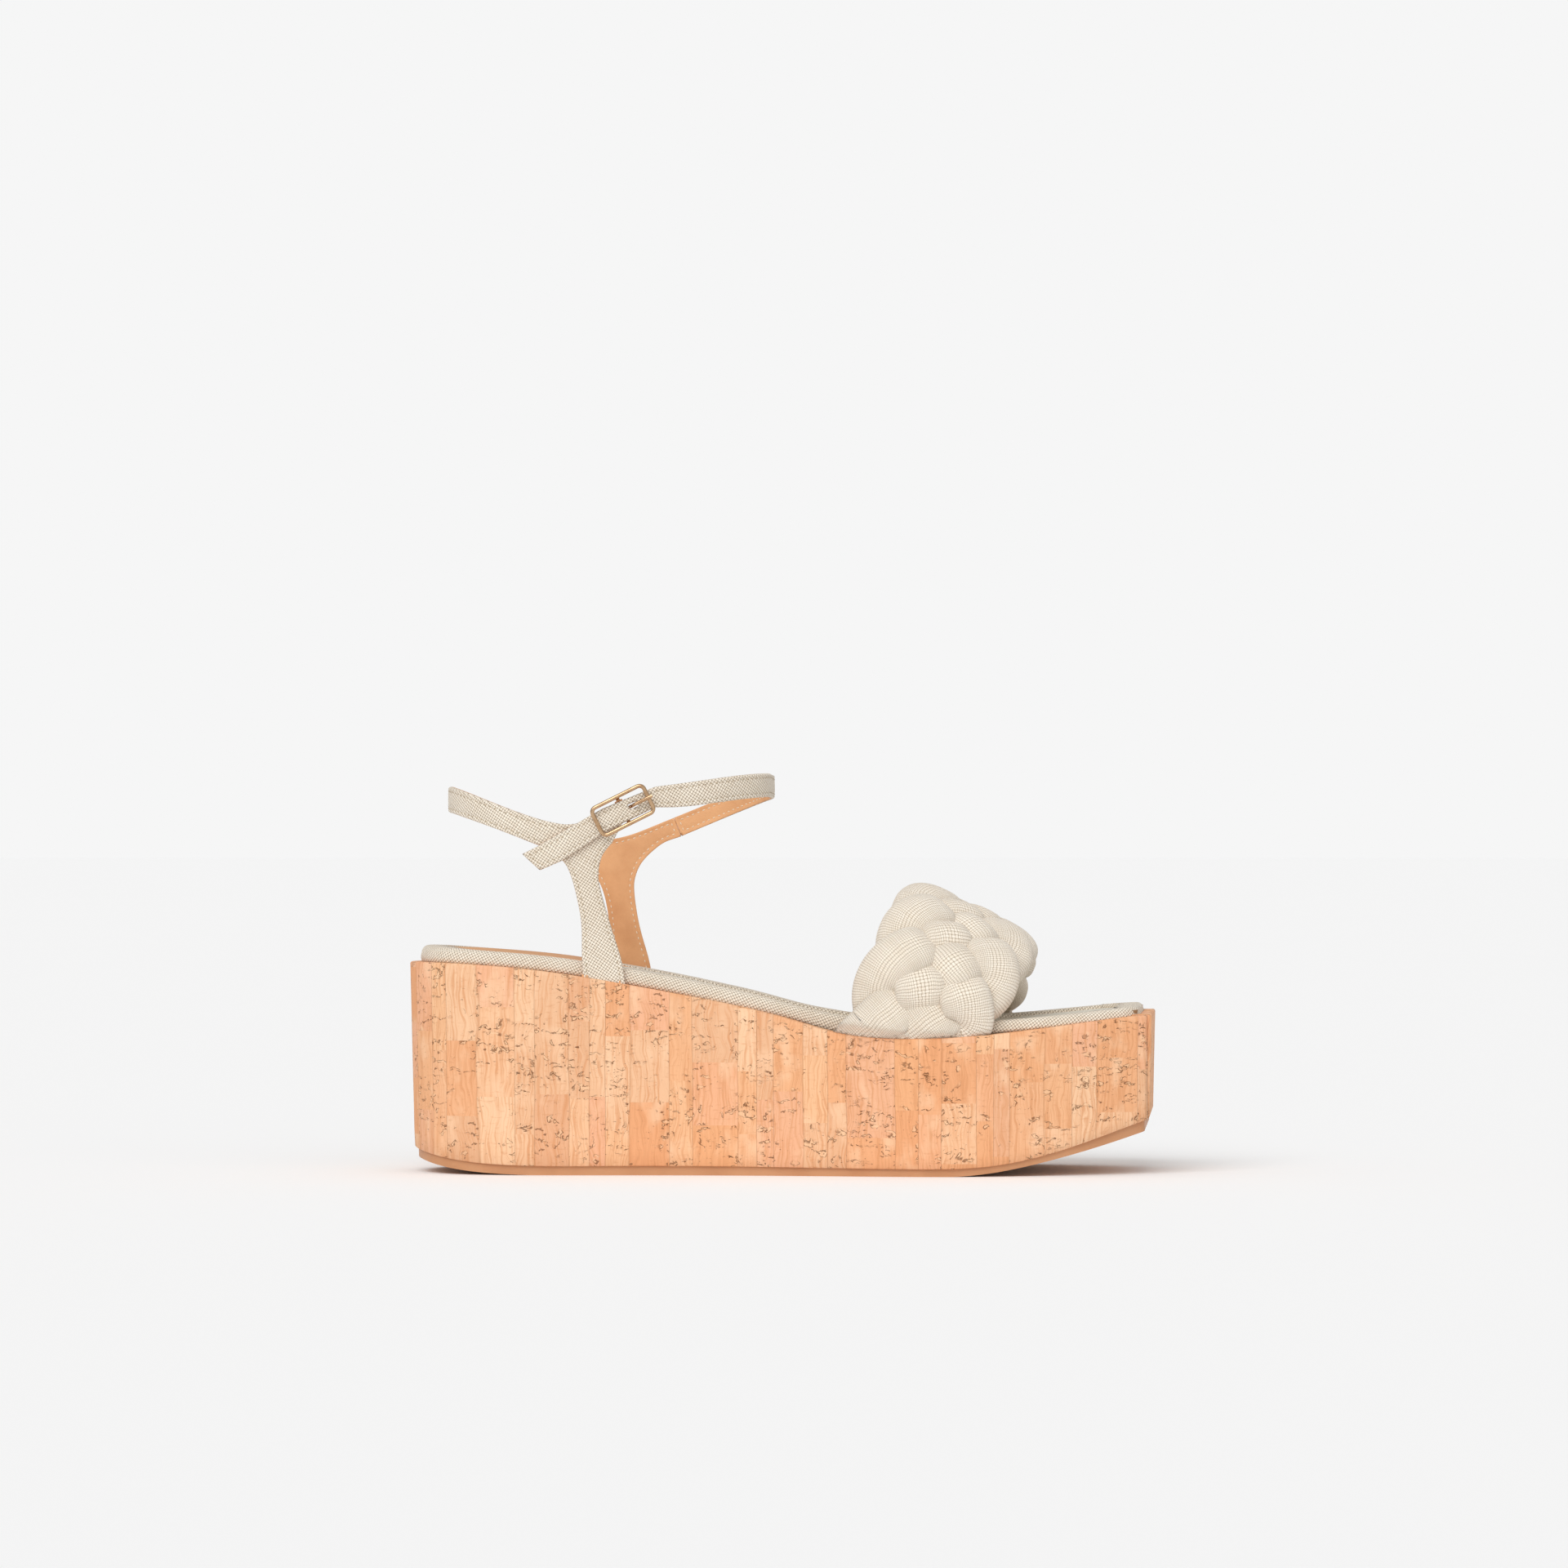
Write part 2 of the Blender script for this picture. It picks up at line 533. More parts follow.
class PlanPath:
    """An upright surface's line in plan, measured along its length, with its outward side."""

    def __init__(self, points, steps=12):
        pts = [Vector((x, y, 0)) for x, y in points]
        if steps > 1:
            pts = smooth_line(pts, steps)
        self.line = np.array([(p.x, p.y) for p in pts])
        step = np.diff(self.line, axis=0)
        self.length = np.concatenate([[0], np.cumsum(np.hypot(step[:, 0], step[:, 1]))])
        tangent = np.gradient(self.line, axis=0)
        tangent /= np.linalg.norm(tangent, axis=1)[:, None]
        self.normal = np.stack([tangent[:, 1], -tangent[:, 0]], axis=1)

    def at(self, s, z, grow):
        """The point at a distance along the path, a height, and a distance outwards."""
        x = np.interp(s, self.length, self.line[:, 0]) + grow * np.interp(s, self.length, self.normal[:, 0])
        y = np.interp(s, self.length, self.line[:, 1]) + grow * np.interp(s, self.length, self.normal[:, 1])
        return np.stack([x, y, z], axis=-1)


def smooth_line(points, steps):
    """A smooth line through the points, as a Catmull-Rom curve."""
    padded = [points[0] * 2 - points[1], *points, points[-1] * 2 - points[-2]]
    line = []
    for i in range(1, len(padded) - 2):
        p0, p1, p2, p3 = padded[i - 1:i + 3]
        for k in range(steps):
            t = k / steps
            square, cube = 2 * p0 - 5 * p1 + 4 * p2 - p3, 3 * p1 - p0 - 3 * p2 + p3
            line.append(0.5 * ((2 * p1) + (p2 - p0) * t + square * t * t + cube * t ** 3))
    line.append(padded[-2])
    return line


def half_ellipse(middle, reach, start, stop, count=60):
    """Points of the ring's rounded front or back in plan, between two turns in degrees."""
    turns = np.radians(np.linspace(start, stop, count))
    return [(middle + reach * math.cos(t), RING_HALF * math.sin(t)) for t in turns]


def collar_paths():
    """Plan paths of the quarters and of the ankle strap with its tail; each has the outside on its right."""
    back = half_ellipse(RING_BACK_X, RING_BACK_REACH, 90, 270, 120)
    front_in = half_ellipse(RING_FRONT_X, RING_FRONT_REACH, 15, 90)
    front_out = half_ellipse(RING_FRONT_X, RING_FRONT_REACH, -90, -15)
    ring = PlanPath(front_in + back + front_out, 1)
    outer_half = smooth_line([Vector((x, y, 0)) for x, y in STRAP_PLAN], 12)[::-1]
    inner_half = half_ellipse(RING_FRONT_X, RING_FRONT_REACH, 1, 90)
    tail = [(x, TAIL_FACE) for x in range(-100, -69, 2)]
    strap = PlanPath(tail + [(p.x, p.y) for p in outer_half] + inner_half + [(RING_BACK_X, RING_HALF)], 1)
    return ring, strap


# ---------------------------------------------------------------- sewn straps

def buckle_point(u, v):
    """Side-view x and z of a point in the buckle's frame."""
    c, s = math.cos(BUCKLE_TILT), math.sin(BUCKLE_TILT)
    return (BUCKLE_CENTRE[0] + u * c - v * s, BUCKLE_CENTRE[2] + u * s + v * c)


def flat_run(path, half, points, straight=False):
    """A side-view run on the path's flat cloth; half names the part of the path where x maps to one place."""
    if not straight:
        points = [(p.x, p.y) for p in smooth_line([Vector((x, z, 0)) for x, z in points], 10)]
    xs, lengths = path.line[half, 0], path.length[half]
    order = np.argsort(xs)
    low, high = xs.min() + 0.02, xs.max() - 1.0
    kept = [(x, z) for x, z in points if low < x < high or straight]
    return [(float(np.interp(x, xs[order], lengths[order])), z) for x, z in kept]


def quarter_loop(path, half, low_run, high_run, leg_back, leg_front, tab, foot):
    """Outline of a quarter on its flat cloth: up the leg, round to the back seam and back along the top."""
    seam = path.length[half][np.argmin(path.line[half, 0])]
    back = path.line[half, 0].min()
    low = flat_run(path, half, low_run)
    high = flat_run(path, half, high_run)
    low.append((seam, float(np.interp(back, *curve_by_x(low_run)))))
    high.insert(0, (seam, float(np.interp(back, *curve_by_x(high_run)))))
    up = flat_run(path, half, leg_back)
    down = flat_run(path, half, leg_front)
    ends = flat_run(path, half, tab, True)
    toes = flat_run(path, half, foot, True)
    return np.array(up + low[1:] + high + ends + down + toes)


CURVES = {}


def curve_by_x(run):
    """A smooth run as x and z, with x rising."""
    if run not in CURVES:
        line = sorted((p.x, p.y) for p in smooth_line([Vector((x, z, 0)) for x, z in run], 10))
        CURVES[run] = ([p[0] for p in line], [p[1] for p in line])
    return CURVES[run]


def strap_loops(path):
    """Outlines of the ankle strap with its tail, and of its punched hole, on the flat cloth."""
    front = int(np.argmax(path.line[:, 0]))
    outer, inner = slice(0, front + 1), slice(front, None)
    high = flat_run(path, inner, STRAP_INNER_HIGH) + flat_run(path, outer, STRAP_OUTER_HIGH)
    above = [buckle_point(u, v) for u, v in STRAP_TURN_HIGH]
    below = [buckle_point(u, v) for u, v in STRAP_TURN_LOW]
    tip = flat_run(path, outer, [*above, *TAIL_TIP, *below], True)
    low = flat_run(path, outer, STRAP_OUTER_LOW) + flat_run(path, inner, STRAP_INNER_LOW)
    hole = [buckle_point(u, v) for u, v in HOLE_CORNERS]
    return [np.array(high + tip + low), np.array(flat_run(path, outer, hole, True))]


def resample(loop, step):
    """A closed loop with even spacing."""
    closed = np.vstack([loop, loop[:1]])
    length = np.concatenate([[0], np.cumsum(np.hypot(*np.diff(closed, axis=0).T))])
    count = max(8, int(round(length[-1] / step)))
    at = np.linspace(0, length[-1], count, endpoint=False)
    return np.stack([np.interp(at, length, closed[:, k]) for k in (0, 1)], axis=1)


def inside(points, loops):
    """True for each point inside an odd number of loops."""
    hit = np.zeros(len(points), int)
    for loop in loops:
        a, b = loop, np.roll(loop, -1, axis=0)
        for (x0, y0), (x1, y1) in zip(a, b):
            if y0 != y1:
                crosses = (points[:, 1] < y0) != (points[:, 1] < y1)
                at = x0 + (points[:, 1] - y0) * (x1 - x0) / (y1 - y0)
                hit += (crosses & (points[:, 0] < at)).astype(int)
    return hit % 2 == 1


def edge_distance(points, loops):
    """Distance from each point to the nearest loop."""
    best = np.full(len(points), 1e9)
    for loop in loops:
        a, b = loop, np.roll(loop, -1, axis=0)
        run = b - a
        for start in range(0, len(points), 800):
            p = points[start:start + 800, None, :]
            share = np.clip(((p - a) * run).sum(2) / np.maximum((run ** 2).sum(1), 1e-12), 0, 1)
            gap = np.hypot(*np.moveaxis(p - (a + share[..., None] * run), 2, 0)).min(1)
            best[start:start + 800] = np.minimum(best[start:start + 800], gap)
    return best


def inset_line(loop, depth):
    """The loop moved inwards along its own normals, wherever it stays that far from the edge."""
    ahead, behind = np.roll(loop, -2, axis=0), np.roll(loop, 2, axis=0)
    tangent = ahead - behind
    tangent /= np.maximum(np.linalg.norm(tangent, axis=1), 1e-9)[:, None]
    normal = np.stack([-tangent[:, 1], tangent[:, 0]], axis=1)
    if not inside(loop[:1] + normal[:1] * 0.05, [loop])[0]:
        normal = -normal
    return loop + normal * depth


def cut_sheet(loops, depths, grid):
    """Flat triangles that fill the loops, with rows of points at the given depths from the edge."""
    edges = [resample(loop, 0.8) for loop in loops]
    rows = [np.vstack(edges)]
    for depth in depths:
        line = np.vstack([inset_line(edge, depth if k == 0 else -depth) for k, edge in enumerate(edges)])
        rows.append(line[edge_distance(line, edges) > depth * 0.93])
    low, high = edges[0].min(0), edges[0].max(0)
    across, up = np.meshgrid(np.arange(low[0], high[0], grid), np.arange(low[1], high[1], grid))
    across = across + (np.arange(len(across)) % 2)[:, None] * grid / 2
    fill = np.stack([across.ravel(), up.ravel()], axis=1)
    fill = fill[edge_distance(fill, edges) > depths[-1] + grid * 0.6]
    points = np.vstack([*rows, fill])
    keep = inside(points, edges)
    keep[:len(rows[0])] = True
    points = points[keep]
    bounds, first = [], 0
    for edge in edges:
        bounds += [(first + i, first + (i + 1) % len(edge)) for i in range(len(edge))]
        first += len(edge)
    done = geometry.delaunay_2d_cdt([Vector(p) for p in points], bounds, [], 0, 1e-5)
    flat = np.array([tuple(v) for v in done[0]])
    faces = np.array([tuple(f) for f in done[2]])
    middle = flat[faces].mean(1)
    a, b, c = flat[faces[:, 0]], flat[faces[:, 1]], flat[faces[:, 2]]
    area = np.abs((b - a)[:, 0] * (c - a)[:, 1] - (b - a)[:, 1] * (c - a)[:, 0])
    faces = faces[inside(middle, edges) & (area > 1e-5)]
    turn = flat[faces[:, 1]] - flat[faces[:, 0]]
    other = flat[faces[:, 2]] - flat[faces[:, 0]]
    flip = turn[:, 0] * other[:, 1] - turn[:, 1] * other[:, 0] < 0
    faces[flip] = faces[flip][:, ::-1]
    return flat, faces, edges


def step(value, low, high):
    """A smooth step from 0 to 1."""
    t = np.clip((value - low) / (high - low), 0, 1)
    return t * t * (3 - 2 * t)


def strap_surface(depth, back, edge_back, face, rounding, groove):
    """How far the two faces of a sewn strap stand out, by distance from its edge."""
    t = np.clip(depth / rounding, 0, 1)
    shoulder = np.sqrt(np.clip(1 - (1 - t) ** 2, 0, 1))
    turned = edge_back + (back - edge_back) * step(depth, 1.0, 1.7)
    front = edge_back + (face - edge_back) * shoulder
    front = front - (face - back) * groove * np.exp(-((depth - STITCH_INSET) / 0.5) ** 2)
    return front, turned


def one_stitch(path, s, z, lift, outward, first):
    """Points and faces of one run of thread, whose ends dip into the cloth."""
    centre = path.at(s, z, 0.0)
    out = path.at(s, z, 1.0) - centre
    centre = centre + out * (lift + outward * np.array(STITCH_DIP))[:, None]
    tangent = np.gradient(centre, axis=0)
    tangent /= np.linalg.norm(tangent, axis=1)[:, None]
    across = np.cross(out, tangent)
    width = STITCH_RADIUS * np.array(STITCH_SWELL)
    points, faces = [], []
    for i in range(len(width)):
        for j in range(STITCH_SIDES):
            angle = 2 * math.pi * j / STITCH_SIDES
            points.append(centre[i] + width[i] * (across[i] * math.cos(angle) + out[i] * math.sin(angle)))
    last = first + (len(width) - 1) * STITCH_SIDES
    for start in range(first, last, STITCH_SIDES):
        for j in range(STITCH_SIDES):
            a, b = start + j, start + (j + 1) % STITCH_SIDES
            faces.append((a, b, b + STITCH_SIDES, a + STITCH_SIDES))
    faces.append(tuple(first + j for j in range(STITCH_SIDES))[::-1])
    faces.append(tuple(last + j for j in range(STITCH_SIDES)))
    return points, faces


def stitch_row(edges, path, lift, outward):
    """Thread laid in short runs along the edges, skipping any stretch where the line jumps."""
    points, faces = [], []
    for k, edge in enumerate(edges):
        line = inset_line(resample(edge, 0.5), STITCH_INSET if k == 0 else -STITCH_INSET)
        line = line[edge_distance(line, edges) > STITCH_INSET * 0.9]
        if len(line) < 8:
            continue
        gaps = np.hypot(*np.diff(line, axis=0).T)
        length = np.concatenate([[0], np.cumsum(gaps)])
        jump = np.interp(np.arange(0, length[-1], 0.1), length, np.concatenate([gaps, [0]]))
        at = STITCH_START
        while at + STITCH_LENGTH < length[-1]:
            end = min(int((at + STITCH_LENGTH) * 10), len(jump) - 1)
            if jump[int(at * 10)] < 1.0 and jump[end] < 1.0:
                along = at + STITCH_LENGTH * np.linspace(0, 1, len(STITCH_DIP))
                s, z = (np.interp(along, length, line[:, axis]) for axis in (0, 1))
                more, thread = one_stitch(path, s, z, lift, outward, len(points))
                points += more
                faces += thread
            at += STITCH_PITCH
    return points, faces


def sewn_piece(name, loops, path, outward, material, surface):
    """A strap of one layer, closed all round, with its stitches: outward is 1 for linen and -1 for lining."""
    flat, tris, edges = cut_sheet(loops, SHEET_ROWS, SHEET_GRID)
    depth = edge_distance(flat, edges)
    face_side, back_side = surface(depth)
    wave = 0.05 * np.sin(flat[:, 0] * 0.55 + 2 * np.sin(flat[:, 1] * 0.21)) * step(depth, 0.4, 2.5)
    outer = path.at(flat[:, 0], flat[:, 1], 0.0)
    out = path.at(flat[:, 0], flat[:, 1], 1.0) - outer
    front = outer + out * (face_side + wave)[:, None]
    on_edge = depth < 1e-4
    back_index = np.arange(len(flat))
    inner = np.flatnonzero(~on_edge)
    back_index[inner] = len(flat) + np.arange(len(inner))
    back = (outer + out * back_side[:, None])[inner]
    points = np.vstack([front, back])
    front_faces = tris if outward > 0 else tris[:, ::-1]
    back_faces = back_index[front_faces][:, ::-1]
    keep = np.array([not all(on_edge[f]) for f in tris])
    faces = [tuple(f) for f in front_faces[keep]] + [tuple(f) for f in back_faces[keep]]
    cloth = np.vstack([flat, flat[inner]])
    obj = make_piece(name, points, faces, material, cloth)
    groove = float(np.interp(STITCH_INSET, np.sort(depth), face_side[np.argsort(depth)]))
    more, thread_faces = stitch_row(edges, path, groove, outward)
    add_part(obj, more, thread_faces, LINEN_THREAD if outward > 0 else THREAD_MAT)
    return obj


def add_part(obj, points, faces, material):
    """More faces on the same mesh, with their own material."""
    extra = make_piece(obj.name + "_more", points, faces, material, np.zeros((len(points), 2)))
    both = [obj, extra]
    with bpy.context.temp_override(
        active_object=obj, object=obj, selected_objects=both, selected_editable_objects=both
    ):
        bpy.ops.object.join()


def linen_surface(depth):
    """Linen with a rounded turned edge and a groove under its stitches."""
    return strap_surface(depth, 1.0, 0.62, 1.72, EDGE_ROUND, 0.3)


def lining_surface(depth):
    """Leather lining with a cut edge and a groove under its stitches."""
    t = np.clip(depth / 0.25, 0, 1)
    front = 0.22 * (1 - np.sqrt(np.clip(1 - (1 - t) ** 2, 0, 1)))
    front = front + 0.18 * np.exp(-((depth - STITCH_INSET) / 0.45) ** 2)
    return front, np.full_like(depth, 0.6)


def make_collar():
    """Linen and lining of both quarters and of the ankle strap with its tail, with their stitching."""
    ring, strap = collar_paths()
    back = int(np.argmin(ring.line[:, 0]))
    outer_tab = (buckle_point(*TAB_HIGH), buckle_point(*TAB_LOW))
    outer_runs = (OUTER_HEEL_LOW, OUTER_HEEL_HIGH, OUTER_LEG_BACK, OUTER_LEG_FRONT, outer_tab, OUTER_FOOT)
    inner_runs = (INNER_HEEL_LOW, INNER_HEEL_HIGH, INNER_LEG_BACK, INNER_LEG_FRONT, (), INNER_FOOT)
    outer = quarter_loop(ring, slice(back, None), *outer_runs)
    inner = quarter_loop(ring, slice(0, back + 1), *inner_runs)
    layers = (("linen", 1, STRAP_LINEN, linen_surface), ("lining", -1, LINING, lining_surface))
    for layer, outward, material, surface in layers:
        quarters = (("outer", ring, [outer], ROOT_OUTER), ("inner", ring, [inner], ROOT_INNER))
        for side, path, loops, root in quarters:
            target = side + "_quarter_" + layer
            piece = sewn_piece("sewn_" + target, loops, path, outward, material, surface)
            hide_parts(target)
            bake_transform(piece)
        piece = sewn_piece("sewn_ankle_strap_" + layer, strap_loops(strap), strap, outward, material, surface)
        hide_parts("ankle_strap_" + layer, "strap_tail_" + layer)
        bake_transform(piece)


# ---------------------------------------------------------------- braid

def arch_point(a):
    """Centre of the arch and the directions across it and outwards."""
    lift = math.sin(a)
    x = ARCH_FOOT[0] + ARCH_SKEW * a / math.pi + ARCH_LEAN * lift
    centre = Vector((x, -ARCH_HALF * math.cos(a), ARCH_FOOT[1] + ARCH_RISE * lift))
    pitch = ARCH_PITCH * max(lift, 0.0) ** 0.6
    across = Vector((math.cos(pitch), 0, -math.sin(pitch)))
    forward = ARCH_SKEW / math.pi + ARCH_LEAN * math.cos(a)
    tangent = Vector((forward, ARCH_HALF * math.sin(a), ARCH_RISE * math.cos(a)))
    outward = across.cross(tangent).normalized()
    return centre, across, outward


def over_under(phase):
    """Height of a strand in the plait, from 1 on top to -1 underneath."""
    p = phase % 1.0
    if p < 0.1:
        return math.sin(5 * math.pi * p)
    if p < 0.4:
        return math.cos(10 * math.pi * (p - 0.1))
    if p < 0.6:
        return -math.cos(5 * math.pi * (p - 0.4))
    if p < 0.9:
        return math.cos(10 * math.pi * (p - 0.6))
    return -math.sin(5 * math.pi * (1 - p))


def foot_squeeze(a):
    """How much of their thickness the strands keep, less near the arch's two feet."""
    share = max(0.0, min(1.0, min(a, math.pi - a) / SQUEEZE_SPAN))
    return FOOT_SQUEEZE + (1 - FOOT_SQUEEZE) * share * share * (3 - 2 * share)


def on_run(run, x):
    """Height or half width of a run of points at one x."""
    return float(np.interp(x, *curve_by_x(run)))


def tucked_in(point):
    """Keeps a strand's foot behind the cork's outer face."""
    x, y, z = point
    side = OUTER_SIDE if y < 0 else INNER_SIDE
    above = max(0.0, z - on_run(WEDGE_TOP, x) + TUCK_BELOW_TOP)
    wall = on_run(side, x) - TUCK_DEPTH + above * TUCK_SLOPE
    if abs(y) > wall:
        point = np.array([x, math.copysign(wall, y), z])
    return point


def strand_track(index, turns, lengths):
    """Centre line of a strand, with its outward direction, squeeze, narrowing and height at each turn."""
    track = []
    for a, length in zip(turns, lengths):
        centre, across, outward = arch_point(a)
        phase = (float(length) - LOBE_START) / (STRANDS * LOBE_PITCH) + index / STRANDS
        sway = -0.9 * math.cos(2 * math.pi * phase) - 0.1 * math.cos(6 * math.pi * phase)
        squeeze = foot_squeeze(a)
        narrow = FOOT_NARROW + (1 - FOOT_NARROW) * (squeeze - FOOT_SQUEEZE) / (1 - FOOT_SQUEEZE)
        high = over_under(phase)
        place = centre + across * (STRAND_TRAVEL * narrow * sway) + outward * (STRAND_RISE * squeeze * high)
        track.append((place, outward, squeeze, narrow, high))
    return track


def strand_ring(index, place, tangent, outward, squeeze, narrow, high, run):
    """Section of a strand: a rounded square, with small gathers where its neighbours squeeze it."""
    out = np.array(outward)
    side = np.cross(tangent, out)
    side /= np.linalg.norm(side)
    out = np.cross(side, tangent)
    plump = 1.0 + PLUMP * high
    half_w = STRAND_HALF_WIDTH * narrow * plump
    half_t = STRAND_HALF_THICK * squeeze * plump
    ring = []
    for j in range(STRAND_SIDES):
        angle = 2 * math.pi * j / STRAND_SIDES - math.pi / 2
        c, s = math.cos(angle), math.sin(angle)
        x = half_w * math.copysign(abs(c) ** STRAND_SQUARE, c)
        y = half_t * math.copysign(abs(s) ** STRAND_SQUARE, s)
        wave = math.sin(run * 1.05 + 2.1 * math.sin(angle * 2 + index) + index * 1.7)
        tuck = GATHER * wave * (1 - abs(high)) * max(0.0, s + 0.3)
        ring.append(tucked_in(place + side * x + out * (y + tuck)))
    return ring


def make_braid():
    """Five stuffed linen tubes plaited over the arch."""
    turns = np.linspace(-STRAND_END, math.pi + STRAND_END, 350)
    fine = np.linspace(-STRAND_END, math.pi + STRAND_END, 3500)
    speed = np.sqrt((ARCH_HALF * np.sin(fine)) ** 2 + (ARCH_RISE * np.cos(fine)) ** 2)
    length = np.concatenate([[0], np.cumsum((speed[1:] + speed[:-1]) / 2 * np.diff(fine))])
    length -= np.interp(0.0, fine, length)
    around = 2 * math.pi * math.sqrt((STRAND_HALF_WIDTH ** 2 + STRAND_HALF_THICK ** 2) / 2)
    flat_around = np.linspace(0, around, STRAND_SIDES + 1)
    for i in range(STRANDS):
        stations = strand_track(i, turns, np.interp(turns, fine, length))
        track = np.array([tuple(station[0]) for station in stations])
        run = np.concatenate([[0], np.cumsum(np.linalg.norm(np.diff(track, axis=0), axis=1))])
        tangent = np.gradient(track, axis=0)
        tangent /= np.linalg.norm(tangent, axis=1)[:, None]
        rings = [strand_ring(i, track[k], tangent[k], *stations[k][1:], run[k]) for k in range(len(turns))]
        obj = sweep("braid_tube_%d" % (i + 1), np.array(rings), run + 37 * i, flat_around, LINEN)
        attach(obj, "sole")
        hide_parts("braid_strand_%d" % (i + 1))


def sweep(name, rings, along, around, material, weld=False):
    """A closed section carried along a line, through rings that each have their flat coordinates."""
    stations, corners, _ = rings.shape
    points = rings.reshape(-1, 3)
    faces, uvs = [], []
    around = np.broadcast_to(around, (stations, corners + 1))
    spans = stations if weld else stations - 1
    for i in range(spans):
        n = (i + 1) % stations
        for j in range(corners):
            k = (j + 1) % corners
            faces.append((i * corners + j, n * corners + j, n * corners + k, i * corners + k))
            uvs += [(along[i], around[i, j]), (along[i + 1], around[n, j])]
            uvs += [(along[i + 1], around[n, j + 1]), (along[i], around[i, j + 1])]
    if not weld:
        faces.append(tuple(range(corners)))
        faces.append(tuple((stations - 1) * corners + j for j in range(corners))[::-1])
        uvs += [(along[0] + 0.2 * math.sin(j), around[0, j]) for j in range(corners)]
        uvs += [(along[-1] + 0.2 * math.sin(j), around[-1, j]) for j in range(corners)][::-1]
    mesh = bpy.data.meshes.new(name)
    mesh.from_pydata([tuple(p * MM) for p in points], [], faces)
    layer = mesh.uv_layers.new(name="flat")
    layer.data.foreach_set("uv", np.array(uvs, float).ravel())
    mesh.materials.append(material)
    mesh.polygons.foreach_set("use_smooth", [True] * len(mesh.polygons))
    mesh.update()
    return add_object(name, mesh)


# ---------------------------------------------------------------- cork and footbed

def node_tree(*nodes):
    """A ray-casting tree of CAD nodes, in millimetres, with the node that each face belongs to."""
    points, faces, owner = [], [], []
    for node in nodes:
        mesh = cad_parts[node].data
        first = len(points)
        points += [v.co / MM for v in mesh.vertices]
        for polygon in mesh.polygons:
            faces.append([first + i for i in polygon.vertices])
            owner.append(node)
    return BVHTree.FromPolygons(points, faces), owner


def ray_fan(x, start, stop):
    """Directions that fan out from a point on the foot's middle line, with that point."""
    turns = [math.radians(angle) for angle in np.linspace(start, stop, 200)]
    return [(x, math.cos(turn), math.sin(turn)) for turn in turns]


def round_outline(tree, owner, height):
    """Points round the outline, from the toe by the outer side to the heel and back by the inner side."""
    middle = [(x, 0.0, -1.0) for x in np.linspace(TOE_FAN_X, HEEL_FAN_X, 300)[1:-1]]
    rays = ray_fan(TOE_FAN_X, 0, -90) + middle + ray_fan(HEEL_FAN_X, -90, -180)
    rays += [(x, dx, -dy) for x, dx, dy in rays[::-1][1:-1]]
    points, owners = [], []
    for x, dx, dy in rays:
        z = height(x + dx * SIDE_GUESS)
        start = Vector((x + dx * RAY_REACH, dy * RAY_REACH, z))
        hit = tree.ray_cast(start, Vector((-dx, -dy, 0)), RAY_REACH)
        if hit[0] is not None:
            points.append((hit[0].x, hit[0].y))
            owners.append(owner[hit[2]])
    return np.array(points), owners


def even_stations(points, step_mm, closed=False):
    """Even spacing along a line, with the outward normal of each station."""
    line = np.vstack([points, points[:1]]) if closed else points
    length = np.concatenate([[0], np.cumsum(np.hypot(*np.diff(line, axis=0).T))])
    count = int(round(length[-1] / step_mm))
    at = np.linspace(0, length[-1], count, endpoint=not closed)
    place = np.stack([np.interp(at, length, line[:, k]) for k in (0, 1)], axis=1)
    if closed:
        tangent = np.roll(place, -2, axis=0) - np.roll(place, 2, axis=0)
    else:
        tangent = np.gradient(place, axis=0)
        smooth = np.ones(5) / 5
        padded = np.vstack([tangent[:1]] * 2 + [tangent] + [tangent[-1:]] * 2)
        tangent = np.stack([np.convolve(padded[:, k], smooth, "valid") for k in (0, 1)], axis=1)
    tangent /= np.linalg.norm(tangent, axis=1)[:, None]
    normal = np.stack([tangent[:, 1], -tangent[:, 0]], axis=1)
    if (place * normal).sum() < 0:
        normal = -normal
    return at, place, normal


def ring_lengths(ring):
    """Distance round a closed section to each of its corners and back to the first."""
    closed = np.vstack([ring, ring[:1]])
    return np.concatenate([[0], np.cumsum(np.linalg.norm(np.diff(closed, axis=0), axis=1))])


def make_cork():
    """Cork sheets of the two sides and the toe, each with a rounded top edge and a turned-in margin."""
    nodes = ("cork_wrap_outer_side", "cork_wrap_inner_side", "cork_toe_panel")
    tree, owner = node_tree(*nodes)
    points, owners = round_outline(tree, owner, lambda x: WALL_MIDDLE)
    offset = 0.0
    for node in nodes:
        picked = np.array([o == node for o in owners])
        if node == "cork_toe_panel":
            half = len(points) // 2
            order = np.roll(np.arange(len(points)), half)
            chosen = points[order][picked[order]]
        else:
            chosen = points[picked]
        at, place, normal = even_stations(chosen, CORK_STATION)
        own, _ = node_tree(node)
        rings, around = [], []
        for p, n in zip(place, normal):
            top, low = wall_end(own, p, n, 1), wall_end(own, p, n, -1)
            rings.append(wall_section(own, p, n, low, top))
            around.append(ring_lengths(rings[-1]) + low)
        obj = sweep("cork_sheet_" + node[5:], np.array(rings), at + offset, np.array(around), CORK)
        offset += at[-1] + CORK_GAP
        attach(obj, "sole")
        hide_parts(node)


def wall_hit(tree, p, n, z):
    """Where a wall stands at a height, looked at square from outside."""
    start = Vector((p[0] + n[0] * 15, p[1] + n[1] * 15, z))
    hit = tree.ray_cast(start, Vector((-n[0], -n[1], 0)), 21.0)
    return None if hit[0] is None else np.array(hit[0])


